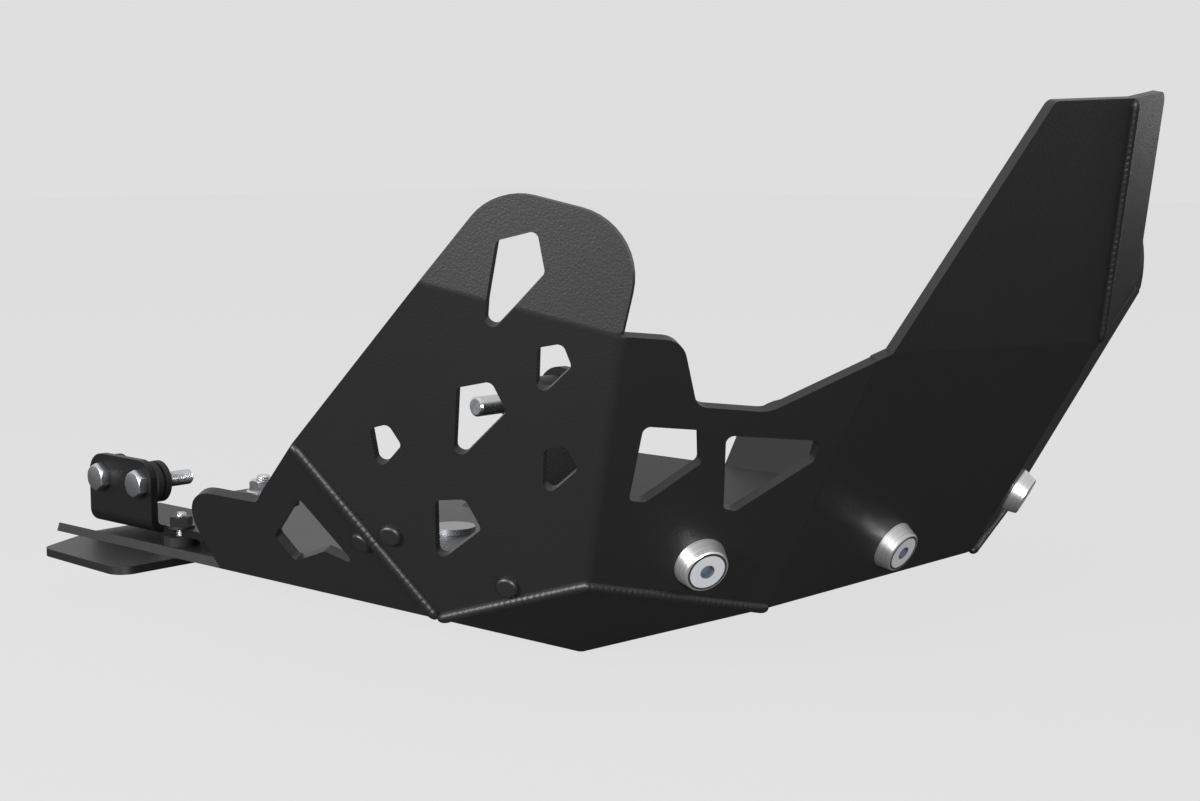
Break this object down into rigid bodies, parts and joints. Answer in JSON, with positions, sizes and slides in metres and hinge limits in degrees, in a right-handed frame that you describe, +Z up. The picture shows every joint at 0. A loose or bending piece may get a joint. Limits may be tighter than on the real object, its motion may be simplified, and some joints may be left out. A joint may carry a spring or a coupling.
{
  "type": "motorcycle skid plate",
  "caption": "Bent and welded black sheet guard for the underside of a motorcycle, with cut-outs, replaceable pucks and clamps.",
  "frame": {"origin": "centre of the flat belly's underside, which the part rests on", "axes": "+X towards the front of the motorcycle, +Y to its left, +Z up"},
  "size_m": [0.5133, 0.4356, 0.2309],
  "materials": {
    "powder_coat": "satin powder coat",
    "bracket_coat": "satin powder coat",
    "puck_aluminium": "turned",
    "zinc_steel": "zinc plated",
    "black_hardware": "black oxide",
    "bush_rubber": "moulded",
    "drain_steel": "dull zinc"
  },
  "bodies": {
    "root": {"arm_bolt": "zinc_steel", "arm_nut_front": "zinc_steel", "arm_nut_rear": "zinc_steel", "arm_stud_front": "zinc_steel", "arm_stud_rear": "zinc_steel", "clamp_arm": "bracket_coat", "clamp_bolt_front": "zinc_steel", "clamp_bolt_rear": "zinc_steel", "clamp_bush_front": "bush_rubber", "clamp_bush_rear": "bush_rubber", "drain_plug": "drain_steel", "foot_nut_front": "black_hardware", "foot_nut_rear": "black_hardware", "foot_spacer_front": "bush_rubber", "foot_spacer_rear": "bush_rubber", "foot_stud_front": "zinc_steel", "foot_stud_rear": "zinc_steel", "nose_weld_far": "powder_coat", "nose_weld_near": "powder_coat", "puck_centre": "puck_aluminium", "puck_far": "puck_aluminium", "puck_near": "puck_aluminium", "puck_nut_centre": "zinc_steel", "puck_nut_far": "zinc_steel", "puck_nut_near": "zinc_steel", "puck_screw_centre": "zinc_steel", "puck_screw_far": "zinc_steel", "puck_screw_near": "zinc_steel", "rear_bracket": "bracket_coat", "rim_bolt": "zinc_steel", "rim_nut": "zinc_steel", "rim_weld_far": "powder_coat", "rim_weld_near": "powder_coat", "rivet_far_1": "black_hardware", "rivet_far_2": "black_hardware", "rivet_far_3": "black_hardware", "rivet_near_1": "black_hardware", "rivet_near_2": "black_hardware", "rivet_near_3": "black_hardware", "skid_shell": "powder_coat", "tongue_wing": "powder_coat", "wing_weld": "powder_coat"}
  },
  "joints": []
}
